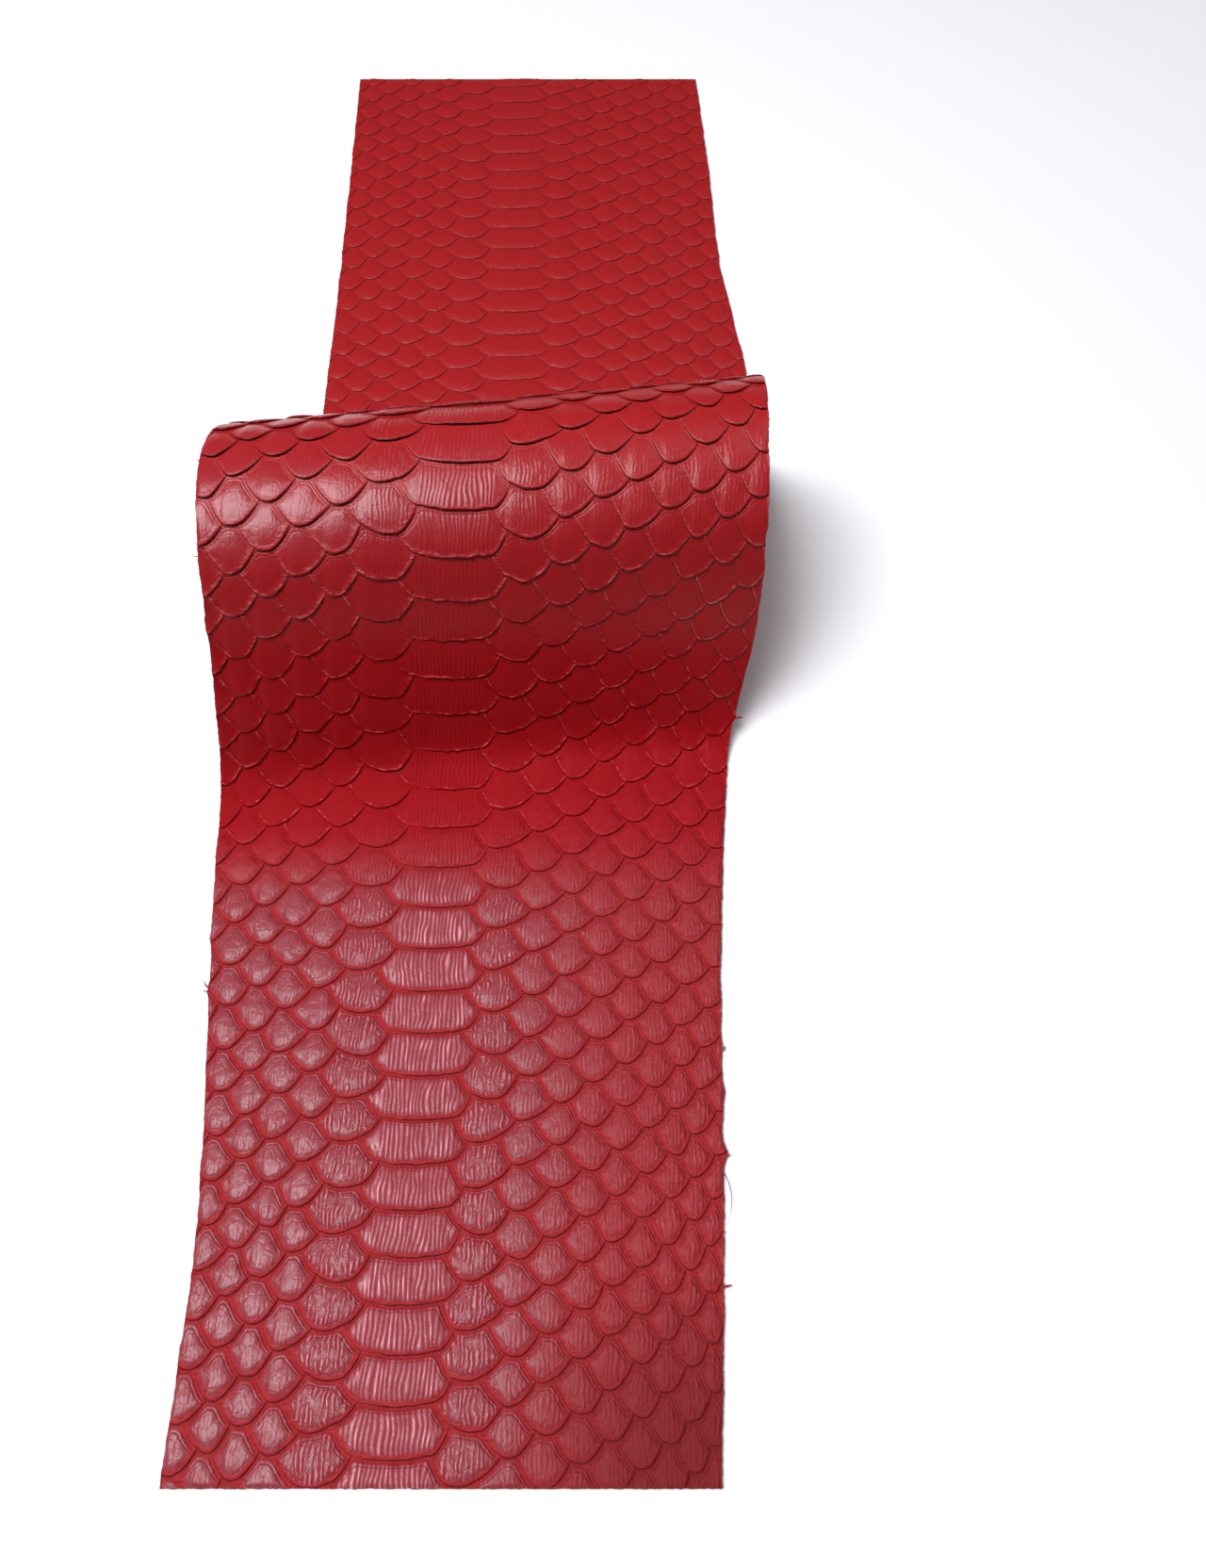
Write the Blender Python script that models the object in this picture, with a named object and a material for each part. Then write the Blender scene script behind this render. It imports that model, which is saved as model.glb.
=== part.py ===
"""Tanned snake skin: one strip of dyed leather that lies flat at both ends and rises in a hump between them.

Metres, +Z up. X runs across the strip. Y runs along it, from the cut at the tail end towards the head. The origin is
the middle of the bottom of the strip's box, on the surface that the strip rests on.

The strip is first laid out flat, as (along, across, height above the flesh side). Then it is bent over its hump.
The rows of scales are half a pitch apart, and each scale's free edge points to the tail end.
"""

import math

import bmesh
import bpy
import numpy as np

# Size of the strip, along its own surface
STRIP_LENGTH = 0.667
LEFT_EDGE = ((0.0, -0.0554), (0.06, -0.0572), (0.12, -0.0643), (0.18, -0.0708), (0.24, -0.0675), (0.30, -0.0682),
             (0.36, -0.0695), (0.45, -0.0710), (0.667, -0.0800))
RIGHT_EDGE = ((0.0, 0.0784), (0.06, 0.0823), (0.12, 0.0844), (0.18, 0.0885), (0.24, 0.0944), (0.30, 0.0922),
              (0.38, 0.0960), (0.46, 0.0970), (0.53, 0.0898), (0.60, 0.0878), (0.667, 0.0848))
BELLY_LINE = ((0.0, -0.0010), (0.12, -0.0005), (0.20, 0.0), (0.24, 0.0012), (0.30, 0.0045), (0.36, 0.0050),
              (0.46, 0.0030), (0.667, -0.0028))
LEATHER_THICKNESS = 0.0009

# Hump, from the tail end: bottom bend, straight rise, crest, straight fall, bottom bend
HUMP_START = 0.1768
FRONT_BEND = 0.0335
FRONT_RISE = 0.0350
CREST_BEND = 0.1095
BACK_BEND = 0.060
FRONT_SLOPE = math.radians(65.0)
BACK_SLOPE = math.radians(70.4)
FOLD_TURN = math.radians(7.2)  # how far the folds turn from straight across, right side further from the tail end
LONGEST_FALL = 0.2
BENDING_STEP = 0.0005

# Scales
FIRST_FREE_EDGE = 0.0067
ROW_PITCHES = ((0.0, 0.0110), (0.03, 0.0112), (0.09, 0.0119), (0.14, 0.0131), (0.25, 0.0131), (0.33, 0.0128),
               (0.43, 0.01275), (0.48, 0.0134), (0.667, 0.0134))
TAIL_PITCH = ROW_PITCHES[0][1]
COLUMN_PITCH_TAIL = 0.0120
COLUMN_PITCH = 0.0133
PITCH_GROWS = (0.0275, 0.1575)
BELLY_HALF_WIDTH = 0.93  # in column pitches, to the corners of a belly plate's free edge
LEFT_FIRST_COLUMN = 1.57  # in column pitches, from the belly line
LEFT_SECOND_STEP = 0.90
LEFT_STEPS = (0.68, 0.75)  # near the tail end and beyond the change
LEFT_NARROWING = 0.03  # how much each further step is smaller than the one before, towards the strip's edge
RIGHT_FIRST_COLUMN = 1.46
RIGHT_SECOND_STEP = 0.88
RIGHT_STEP = 0.75
RIGHT_NARROWINGS = (0.05, 0.025)
COLUMNS_CHANGE = (0.06, 0.19)
LEFT_COLUMNS = 8
RIGHT_COLUMNS = 11
BELLY_ARC = 0.0012  # how far a belly plate's free edge bows out
BELLY_POINTS = (-1.0, -0.5, 0.0, 0.5, 1.0)
EDGE_SNAP = 0.0016  # a point closer to the cut edge than this is moved onto it

# Relief above the flesh side
GROOVE_HEIGHT = LEATHER_THICKNESS
EDGE_HEIGHT = LEATHER_THICKNESS + 0.0003
PILLOW_HEIGHT = LEATHER_THICKNESS + 0.0007
LIP_HEIGHT = LEATHER_THICKNESS + 0.0008
CREST_LIFT = 0.0009  # extra lift of the free edges where the crest bends hardest

UNDERSIDE_PARTS = 5
MERGE_DISTANCE = 0.00002
LEATHER_COLOUR = (0.42, 0.024, 0.028, 1.0)
LEATHER_ROUGHNESS = 0.5


def clear_scene():
    for old in list(bpy.data.objects):
        bpy.data.objects.remove(old)


def smooth(x):
    x = np.clip(x, 0.0, 1.0)
    return x * x * (3.0 - 2.0 * x)


def between(low, high, span, along):
    """Value that grows from low to high over a span of the strip."""
    return low + (high - low) * float(smooth((along - span[0]) / (span[1] - span[0])))


def through(points, along):
    """Value at a place of a smooth curve through (along, value) points."""
    at, value = np.array(points).T
    slope = np.gradient(value, at)
    n = int(np.clip(np.searchsorted(at, along) - 1, 0, len(at) - 2))
    span = at[n + 1] - at[n]
    x = min(max((along - at[n]) / span, 0.0), 1.0)
    start = (1.0 + 2.0 * x) * (1.0 - x) ** 2 * value[n] + x * (1.0 - x) ** 2 * span * slope[n]
    end = x * x * (3.0 - 2.0 * x) * value[n + 1] - x * x * (1.0 - x) * span * slope[n + 1]
    return start + end


class Bend:
    """The curve of the hump, seen along its folds, and the strip laid over it."""

    def __init__(self):
        longest = HUMP_START + FRONT_BEND + FRONT_RISE + CREST_BEND + LONGEST_FALL + BACK_BEND
        self.travel = np.arange(-STRIP_LENGTH, 2.0 * max(longest, STRIP_LENGTH), BENDING_STEP)
        short, long = 0.0, LONGEST_FALL
        while long - short > 1e-9:
            fall = (short + long) / 2.0
            self.integrate(fall)
            if self.height[-1] > 0.0:
                short = fall
            else:
                long = fall

    def integrate(self, fall):
        """Works out the curve for a given length of the straight fall behind the crest."""
        crest = HUMP_START + FRONT_BEND + FRONT_RISE
        foot = crest + CREST_BEND + fall
        rise = FRONT_SLOPE * smooth((self.travel - HUMP_START) / FRONT_BEND)
        turn = (FRONT_SLOPE + BACK_SLOPE) * smooth((self.travel - crest) / CREST_BEND)
        settle = BACK_SLOPE * smooth((self.travel - foot) / BACK_BEND)
        self.slope = rise - turn + settle
        middle = (self.slope[1:] + self.slope[:-1]) / 2.0
        self.forward = self.travel[0] + np.concatenate([[0.0], np.cumsum(np.cos(middle)) * BENDING_STEP])
        self.height = np.concatenate([[0.0], np.cumsum(np.sin(middle)) * BENDING_STEP])
        self.turning = np.gradient(self.slope, BENDING_STEP)

    def travel_of(self, along, across):
        return along * math.cos(FOLD_TURN) - across * math.sin(FOLD_TURN)

    def place(self, along, across, above):
        """World place of a point of the strip, above its flesh side."""
        travel = self.travel_of(along, across)
        sideways = across * math.cos(FOLD_TURN) + along * math.sin(FOLD_TURN)
        slope = float(np.interp(travel, self.travel, self.slope))
        forward = float(np.interp(travel, self.travel, self.forward)) - above * math.sin(slope)
        up = float(np.interp(travel, self.travel, self.height)) + above * math.cos(slope)
        return (
            sideways * math.cos(FOLD_TURN) - forward * math.sin(FOLD_TURN),
            sideways * math.sin(FOLD_TURN) + forward * math.cos(FOLD_TURN),
            up,
        )

    def crest_share(self, along, across):
        """How hard the crest bends here, from 0 on the flat to 1 at the top."""
        turning = -float(np.interp(self.travel_of(along, across), self.travel, self.turning))
        hardest = 1.5 * (FRONT_SLOPE + BACK_SLOPE) / CREST_BEND
        return min(max(turning / hardest, 0.0), 1.0)


class Scales:
    """Where the rows and columns of scales lie on the flat strip, trimmed to its cut edges."""

    def __init__(self):
        along = FIRST_FREE_EDGE - 1.5 * TAIL_PITCH
        rows = []
        while along < STRIP_LENGTH + TAIL_PITCH:
            rows.append(along)
            along += through(ROW_PITCHES, along) / 2.0
        self.rows = [self.trim_along(row) for row in rows]

    def trim_along(self, along):
        if along < EDGE_SNAP:
            return 0.0
        if along > STRIP_LENGTH - EDGE_SNAP:
            return STRIP_LENGTH
        return along

    def column(self, number, side, along):
        """Distance of a column of scales from the belly line."""
        if side < 0:
            first, second = LEFT_FIRST_COLUMN, LEFT_SECOND_STEP
            step, narrowing = between(*LEFT_STEPS, COLUMNS_CHANGE, along), LEFT_NARROWING
        else:
            first, second = RIGHT_FIRST_COLUMN, RIGHT_SECOND_STEP
            step, narrowing = RIGHT_STEP, between(*RIGHT_NARROWINGS, COLUMNS_CHANGE, along)
        pitches = first
        if number > 1:
            further = number - 2
            pitches += second + further * step - narrowing * further * (further - 1) / 2.0
        return pitches * self.column_pitch(along)

    def column_pitch(self, along):
        return between(COLUMN_PITCH_TAIL, COLUMN_PITCH, PITCH_GROWS, along)

    def point(self, along, offset, above):
        """A point beside the belly line. A point on a cut takes the cut edge's height."""
        along = self.trim_along(along)
        across = through(BELLY_LINE, along) + offset
        left = through(LEFT_EDGE, along)
        right = through(RIGHT_EDGE, along)
        if across < left + EDGE_SNAP:
            return along, left, EDGE_HEIGHT
        if across > right - EDGE_SNAP:
            return along, right, EDGE_HEIGHT
        if along in (0.0, STRIP_LENGTH):
            return along, across, EDGE_HEIGHT
        return along, across, above

    def side_point(self, row, number, side, above):
        """A point of a column beside the belly. Number 0 is the corner of the belly plates' free edge."""
        along = self.rows[row]
        if number == 0:
            return self.point(along, side * BELLY_HALF_WIDTH * self.column_pitch(along), above)
        return self.point(along, side * self.column(number, side, along), above)

    def belly_point(self, row, share, bow, above):
        """A point of a belly plate, at a share of its half width, on a line that bows to the tail end."""
        along = self.rows[row]
        offset = share * BELLY_HALF_WIDTH * self.column_pitch(along)
        if along in (0.0, STRIP_LENGTH):
            return self.point(along, offset, above)
        return self.point(along - bow * (1.0 - share * share), offset, above)


class Sheet:
    """Faces of the skin, gathered on the flat strip and bent as they are added."""

    def __init__(self):
        self.bend = Bend()
        self.scales = Scales()
        self.mesh = bmesh.new()

    def add_face(self, points):
        self.mesh.faces.new([self.mesh.verts.new(self.bend.place(*point)) for point in points])

    def lifted(self, point):
        """The free edge above a point of the groove. On a cut it is the point itself."""
        along, across, above = point
        if above == EDGE_HEIGHT:
            return point
        return along, across, LIP_HEIGHT + CREST_LIFT * self.bend.crest_share(along, across)

    def side_scale(self, row, number, side):
        """One pillow with four flanks and the wall under its free edge."""
        head = self.scales.side_point(row + 1, number, side, GROOVE_HEIGHT)
        tail = self.scales.side_point(row - 1, number, side, GROOVE_HEIGHT)
        inner = self.scales.side_point(row, number - 1, side, GROOVE_HEIGHT)
        outer = self.scales.side_point(row, number + 1, side, GROOVE_HEIGHT)
        middle = self.scales.side_point(row, number, side, PILLOW_HEIGHT)
        lip = self.lifted(tail)
        self.add_face((head, inner, middle))
        self.add_face((head, middle, outer))
        self.add_face((inner, lip, middle))
        self.add_face((middle, lip, outer))
        self.add_face((inner, tail, lip))
        self.add_face((lip, tail, outer))

    def belly_plate(self, row):
        """One broad plate with a tip at each side and a free edge that bows to the tail end."""
        head, middle, tail, lip = [], [], [], []
        for share in BELLY_POINTS:
            head.append(self.scales.belly_point(row + 1, share, BELLY_ARC, GROOVE_HEIGHT))
            middle.append(self.scales.belly_point(row, share, BELLY_ARC / 2.0, PILLOW_HEIGHT))
            tail.append(self.scales.belly_point(row - 1, share, BELLY_ARC, GROOVE_HEIGHT))
            lip.append(tail[-1] if abs(share) == 1.0 else self.lifted(tail[-1]))
        for n in range(len(BELLY_POINTS) - 1):
            self.add_face((head[n], middle[n], middle[n + 1], head[n + 1]))
            self.add_face((middle[n], lip[n], lip[n + 1], middle[n + 1]))
            self.add_face((lip[n], tail[n], tail[n + 1], lip[n + 1]))
        for side, end in ((-1, 0), (1, -1)):
            tip = self.scales.side_point(row, 1, side, GROOVE_HEIGHT)
            self.add_face((tip, head[end], middle[end]))
            self.add_face((tip, middle[end], lip[end]))

    def scaled_side(self):
        """Belly plates on the even rows, with the side scales between them."""
        for row in range(1, len(self.scales.rows) - 1):
            if row % 2 == 0:
                self.belly_plate(row)
            for side, columns in ((-1, LEFT_COLUMNS), (1, RIGHT_COLUMNS)):
                for number in range(1, columns):
                    if (row + number) % 2 == 0:
                        self.side_scale(row, number, side)

    def across_strip(self, along):
        """Points of the flesh side from the left cut edge to the right one."""
        left, right = through(LEFT_EDGE, along), through(RIGHT_EDGE, along)
        return [(along, left + (right - left) * n / UNDERSIDE_PARTS, 0.0) for n in range(UNDERSIDE_PARTS + 1)]

    def flesh_side(self):
        """The underside and the cut walls along both edges."""
        rows = sorted(set(self.scales.rows))
        for near, far in zip(rows, rows[1:]):
            low, high = self.across_strip(near), self.across_strip(far)
            for n in range(UNDERSIDE_PARTS):
                self.add_face((low[n], high[n], high[n + 1], low[n + 1]))
            for end in (0, -1):
                top_low = (*low[end][:2], EDGE_HEIGHT)
                top_high = (*high[end][:2], EDGE_HEIGHT)
                self.add_face((low[end], high[end], top_high, top_low))

    def close(self):
        """Joins the faces, fills both cut ends and stands the strip over the origin."""
        bmesh.ops.remove_doubles(self.mesh, verts=self.mesh.verts[:], dist=MERGE_DISTANCE)
        rim = [edge for edge in self.mesh.edges if edge.is_boundary]
        bmesh.ops.holes_fill(self.mesh, edges=rim, sides=0)
        bmesh.ops.triangulate(self.mesh, faces=self.mesh.faces[:])
        bmesh.ops.recalc_face_normals(self.mesh, faces=self.mesh.faces[:])
        places = np.array([vertex.co for vertex in self.mesh.verts])
        centre = (places.min(axis=0) + places.max(axis=0)) / 2.0
        bmesh.ops.translate(self.mesh, verts=self.mesh.verts[:], vec=(-centre[0], -centre[1], 0.0))
        return self.mesh


def leather():
    """Red dyed leather with a soft sheen."""
    material = bpy.data.materials.new("dyed_leather")
    material.use_nodes = True
    shader = material.node_tree.nodes["Principled BSDF"]
    shader.inputs["Base Color"].default_value = LEATHER_COLOUR
    shader.inputs["Roughness"].default_value = LEATHER_ROUGHNESS
    shader.inputs["Metallic"].default_value = 0.0
    return material


def snake_skin():
    """The whole strip as one closed piece."""
    sheet = Sheet()
    sheet.scaled_side()
    sheet.flesh_side()
    closed = sheet.close()
    mesh = bpy.data.meshes.new("snake_skin")
    closed.to_mesh(mesh)
    closed.free()
    mesh.materials.append(leather())
    skin = bpy.data.objects.new("snake_skin", mesh)
    bpy.context.scene.collection.objects.link(skin)
    return skin


clear_scene()
snake_skin()
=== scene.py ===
"""Looks of a tanned snake skin: a strip of red dyed python leather with one hump.

Lengths are in metres. The skin is drawn on the flat strip, as distance along it from the tail end,
distance across it from the belly's straight line, and height above the flesh side. Then it is bent
over the hump, as in the solid.
"""

import math

import bpy
import numpy as np
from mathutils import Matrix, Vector


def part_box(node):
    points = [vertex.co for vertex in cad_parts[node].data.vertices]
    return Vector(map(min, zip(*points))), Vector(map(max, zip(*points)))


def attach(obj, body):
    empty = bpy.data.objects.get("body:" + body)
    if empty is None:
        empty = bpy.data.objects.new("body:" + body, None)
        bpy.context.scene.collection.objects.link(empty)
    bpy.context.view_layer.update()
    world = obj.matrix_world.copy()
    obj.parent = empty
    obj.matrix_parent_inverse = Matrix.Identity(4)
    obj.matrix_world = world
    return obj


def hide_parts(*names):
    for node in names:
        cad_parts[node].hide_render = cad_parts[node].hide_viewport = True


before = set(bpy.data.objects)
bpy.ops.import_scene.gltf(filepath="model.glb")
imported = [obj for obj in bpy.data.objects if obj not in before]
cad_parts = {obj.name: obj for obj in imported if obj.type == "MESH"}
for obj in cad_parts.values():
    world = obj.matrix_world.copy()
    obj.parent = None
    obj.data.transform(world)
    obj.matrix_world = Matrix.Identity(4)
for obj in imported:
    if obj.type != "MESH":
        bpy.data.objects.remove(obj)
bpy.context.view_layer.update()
SKIN_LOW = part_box("snake_skin")[0]
MM = 0.001

# Colours, in linear light
MARGIN_COLOUR = (0.290, 0.010, 0.013, 1.0)
MARGIN_COLOUR_DEEP = (0.215, 0.006, 0.009, 1.0)
# Painted highlights along the lips of the free edges: a faint band everywhere, brighter broken ones on the
# hump's front
LIP_HIGHLIGHT_COLOUR = (0.33, 0.016, 0.018, 1.0)
BRIGHT_LIP_HIGHLIGHT_COLOUR = (0.42, 0.050, 0.052, 1.0)
FIELD_COLOUR = (0.25, 0.011, 0.016, 1.0)
FIELD_COLOUR_DEEP = (0.205, 0.008, 0.013, 1.0)
# Pale dusty tone of the fields, partly real dust and partly painted sheen
FIELD_COLOUR_DUST_AND_SHEEN = (0.225, 0.036, 0.046, 1.0)
# Painted highlight on the tops of ridges and striations, and a little over the belly plates
FIELD_HIGHLIGHT_COLOUR = (0.66, 0.27, 0.31, 1.0)
# Painted shade on the hump's front, which faces away from the light
FRONT_SHADE_COLOUR = (0.225, 0.0035, 0.005, 1.0)
FAR_COLOUR = (0.30, 0.009, 0.010, 1.0)
# Painted shadow over the corner at the tail end's right
CORNER_SHADOW_COLOUR = (0.145, 0.004, 0.006, 1.0)
# Painted shadow under the lip of each scale's free edge
EDGE_SHADOW_COLOUR = (0.095, 0.002, 0.004, 1.0)
# Painted shade in the valleys between ridges and striations, and in the wrinkles along the hinge lines
VALLEY_SHADE_COLOUR = (0.20, 0.004, 0.008, 1.0)
SHINE_TINT = (1.0, 1.0, 1.0, 1.0)
SHINE_TINT_FRONT = (1.0, 0.14, 0.18, 1.0)
SUEDE_COLOUR = (0.46, 0.06, 0.06, 1.0)
SUEDE_COLOUR_DEEP = (0.38, 0.035, 0.038, 1.0)
SUEDE_COLOUR_PALE = (0.55, 0.15, 0.14, 1.0)
FIBRE_COLOUR = (0.09, 0.012, 0.012, 1.0)

# Roughness, reflection and fine relief
MARGIN_ROUGHNESS = 0.78
STRETCHED_ROUGHNESS = 0.42
FIELD_ROUGHNESS = 0.32
CREST_ROUGHNESS = 0.27
SPECULAR_LEVEL = 0.27
SUEDE_ROUGHNESS = 0.95
SUEDE_SPECULAR = 0.15
FIBRE_ROUGHNESS = 0.8
FINE_RELIEF = 0.00036
FINE_RELIEF_STRENGTH = 0.9
NAP_RELIEF = 0.0003
NAP_STRENGTH = 0.7

# Texture cells per millimetre
DENT_CELLS = 0.42
GRAIN_CELLS = 2.2
BREAK_CELLS = 0.28
NAP_CELLS = 2.4
FIBRE_CELLS = 1.6
SUEDE_PATCH_CELLS = 0.07

# How textures are stretched across and along the strip
CREASE_STRETCH = (1.0, 0.8, 1.0)
CRIMP_STRETCH = (0.45, 1.2, 1.0)
STRIATION_WANDER = (0.20, 0.11, 1.0)
STRIATION_PATCHES = (0.42, 0.24, 1.0)

# Fine lines on the scales: their spacing, how far they wander and how strong they are
STRIATION_SPACING = 0.00125
STRIATION_WANDER_ANGLE = 15.0  # in radians
HINGE_LINE_SPACING = 0.00075
STRIATED_FIRST_COLUMN = 1.0
STRIATED_OUTER_COLUMNS = 0.22
STRIATED_RIGHT_COLUMNS = (0.30, 0.10)  # to begin with, and more for each column

# Stretches of the strip over which its finish changes
# Where the fields' dust, painted sheen and painted highlights fade towards the hump
WEAR_AND_SHEEN_FADES = (0.140, 0.190)
SHINE_REDDENS = (0.150, 0.176)
MARGINS_SMOOTHEN = (0.186, 0.206)
CREST_CALMS = (0.225, 0.250)
CREST_POLISHES = (0.230, 0.255)
SHINE_CLEARS = (0.232, 0.250)
FAR_REDDENS = (0.262, 0.310)
# Where the painted shadow lines under the free edges fade
FAR_EDGE_SHADOWS_FADE = (0.285, 0.330)
FAR_FLATTENS = (0.34, 0.42)
FAR_DULLS = (0.36, 0.42)
FOOT_DULLS = (0.140, 0.174)
FOOT_ENDS = (0.19, 0.22)
RIGHT_DULLS = (0.005, 0.065)  # across the strip
RIGHT_DULLS_MORE = (0.19, 0.23)
RIGHT_DULLNESS = (0.58, 0.65)
FRONT_LEAD = 0.018  # how far before the hump its front's finish starts
FRONT_ONSET = 0.034
CREST_DELAY = 0.010  # how far past the front's straight rise its finish ends
CREST_ONSET = 0.030

# The dark corner at the tail end's right: painted shadow, with less relief and less gloss
CORNER_PLACE = 0.079
CORNER_LENGTH = 0.052
CORNER_WIDTH = 0.058
CORNER_REACH = 1.15

# Floor and light
FLOOR_COLOUR = (0.80, 0.80, 0.80, 1.0)
FLOOR_ROUGHNESS = 0.9
FLOOR_SPECULAR = 0.1
FLOOR_SIDE = 6.0
FLOOR_HEIGHT = -0.0003
SOFTBOX_PLACE = (-0.45, -0.20, 1.2)
SOFTBOX_AIM = (-0.10, -0.10, 0.0)
SOFTBOX_SIZE = (0.75, 0.70)
SOFTBOX_WATTS = 27.0
SOFTBOX_COLOUR = (0.95, 0.95, 1.0)
FILL_PLACE = (1.0, 0.6, 1.4)
FILL_AIM = (0.15, 0.1, 0.0)
FILL_SIZE = (0.9, 0.9)
FILL_WATTS = 7.0
SURROUND = 0.06

# Camera above the near end
CAMERA_PLACE = (0.03145, -0.25885, 0.303)
CAMERA_TILT = math.radians(27.6)
CAMERA_LENS = 24.34
CAMERA_SENSOR = 36.0
CAMERA_CLIP_START = 0.01

# Size of the strip, as in the solid
STRIP_LENGTH = 0.667
LEFT_EDGE = ((0.0, -0.0554), (0.06, -0.0572), (0.12, -0.0643), (0.18, -0.0708), (0.24, -0.0675),
             (0.30, -0.0682), (0.36, -0.0695), (0.45, -0.0710), (0.667, -0.0800))
RIGHT_EDGE = ((0.0, 0.0784), (0.06, 0.0823), (0.12, 0.0844), (0.18, 0.0885), (0.24, 0.0944), (0.30, 0.0922),
              (0.38, 0.0960), (0.46, 0.0970), (0.53, 0.0898), (0.60, 0.0878), (0.667, 0.0848))
BELLY_LINE = ((0.0, -0.0010), (0.12, -0.0005), (0.20, 0.0), (0.24, 0.0012), (0.30, 0.0045), (0.36, 0.0050),
              (0.46, 0.0030), (0.667, -0.0028))
LEATHER_THICKNESS = 0.0009
EDGE_HEIGHT = LEATHER_THICKNESS + 0.0003

# Cut edges: bulges as (along, out, half length), wobbles as (size, length)
EDGE_ROUNDING = 0.0007
LEFT_BULGES = ((0.138, 0.0006, 0.003), (0.1215, 0.0005, 0.002), (0.245, 0.0005, 0.004))
RIGHT_BULGES = ((0.0765, 0.0011, 0.0022), (0.0930, 0.0005, 0.0022), (0.1060, 0.0004, 0.0015),
                (0.213, 0.0005, 0.0012))
WOBBLES = ((0.00030, 0.0091), (0.00016, 0.0027))
CALM_STRETCH = 0.023  # length over which the wobbles grow and shrink

# Hump, as in the solid
HUMP_START = 0.1768
FRONT_BEND = 0.0335
FRONT_RISE = 0.0350
CREST_BEND = 0.1095
BACK_BEND = 0.060
FRONT_SLOPE = math.radians(65.0)
BACK_SLOPE = math.radians(70.4)
FOLD_TURN = math.radians(7.2)
LONGEST_FALL = 0.2
BENDING_STEP = 0.0005

# Rows and columns of scales, as in the solid
FIRST_FREE_EDGE = 0.0067
ROW_PITCHES = ((0.0, 0.0110), (0.03, 0.0112), (0.09, 0.0119), (0.14, 0.0131), (0.25, 0.0131),
               (0.33, 0.0128), (0.43, 0.01275), (0.48, 0.0134), (0.667, 0.0134))
TAIL_PITCH = ROW_PITCHES[0][1]
COLUMN_PITCH_TAIL = 0.0120
COLUMN_PITCH = 0.0133
PITCH_GROWS = (0.0275, 0.1575)
BELLY_HALF_WIDTH = 0.93
BELLY_LINE_SHORTENING = 0.14  # how much narrower the plates' free edges are than in the solid
LEFT_FIRST_COLUMN = 1.57
LEFT_SECOND_STEP = 0.90
LEFT_STEPS = (0.68, 0.75)
LEFT_NARROWING = 0.03
RIGHT_FIRST_COLUMN = 1.46
RIGHT_SECOND_STEP = 0.88
RIGHT_STEP = 0.75
RIGHT_NARROWINGS = (0.05, 0.025)
COLUMNS_CHANGE = (0.06, 0.19)
LEFT_COLUMNS = 8
RIGHT_COLUMNS = 11
BELLY_ARC = 0.0010  # 0.2 mm less than in the solid

# How the outer columns lie towards the head end on the left and the tail end on the right
LEFT_SLANTS = (0.04, 0.0)
RIGHT_SLANTS = (-0.06, -0.11)
SLANT_START = 0.018

# How finely the pieces are drawn
OUTLINE_STEPS = 30
PLATE_OUTLINE_STEPS = 80
FINEST_UNTIL = 0.21
FINE_UNTIL = 0.40
FACE_PARTING = 0.24  # where the scaled face's tail and head pieces meet

# Shape of one scale
FLANK_POWER = 1.42  # 1 is a straight flank, 2 a parabola
BELLY_FLANK_POWER = 1.75
FLAT_SHARE = 0.22  # half length of a flat run, as a share of the columns' step
FLAT_SHARE_BY_BELLY = 0.52
FLAT_TILT = 0.22
FLAT_BOW = 0.12
SCALE_JITTER = 0.00055
HINGE_SHARE = 0.70  # how much nearer the hinge line counts than the free edge, so its margin is wider
MARGIN = 0.00034
MARGIN_SLOPE = 0.00105
PILLOW_RISE = 0.00050
PILLOW_DOME = 0.00050
DOME_DEPTH = 0.0038
LIP_RISE = 0.00042
LIP_LEATHER = 0.00038
LIP_OVERHANG = 0.00020
FUSED_SHARE = 0.95  # how far a free edge's left flank has grown onto the scale below it
# How much further from its free edge a fused flank counts, so that its painted shadow line is fainter
FUSED_LINE = 0.10
RIM_BEAD = 0.00010
RIM_BEAD_PLACE = 0.00045
RIM_BEAD_WIDTH = 0.00030
CRINKLE = 0.00030
CRINKLE_DEPTH = 0.0013
CRINKLE_CELL = (0.0013, 0.0009)  # across and along the strip, like every cell here
EDGE_CRIMP = 0.00016
EDGE_CRIMP_FRONT = 0.00016
EDGE_CRIMP_CELL = (0.0019, 0.0023)
FIELD_UNEVENNESS = 0.00026
FIELD_UNEVEN_CELL = (0.0024, 0.0024)
DENTS = 0.00012
DENTS_AWAY_FROM_LEFT = 0.4
DENT_CELL = (0.0031, 0.0031)
SMALL_DENT_CELL = (0.0015, 0.0015)
CREST_FULL_TURNING = 12.0
RIDGE_SPACING = 0.00128
RIDGE_RISE = 0.00034
RIDGE_SHARPNESS = 0.7
RIDGE_UNEVENNESS = 0.36
RIDGE_UNEVEN_CELL = (0.0014, 0.0034)
RIDGE_WANDER = 0.00052
RIDGE_WANDER_CELL = (0.0029, 0.0042)
RIDGE_SWAY = 0.0008
RIDGE_SWAY_CELL = (0.009, 0.010)
LIFT_STIFFNESS = 0.30  # share of the crest's bend that a stiff scale doesn't follow
LIFT_TUCK = 1.6
LONGEST_TUCK = 0.0028


def smooth(x):
    x = np.clip(x, 0.0, 1.0)
    return x * x * (3.0 - 2.0 * x)


def between(low, high, span, along):
    """Value that grows from low to high over a span of the strip."""
    return low + (high - low) * smooth((along - span[0]) / (span[1] - span[0]))


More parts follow.
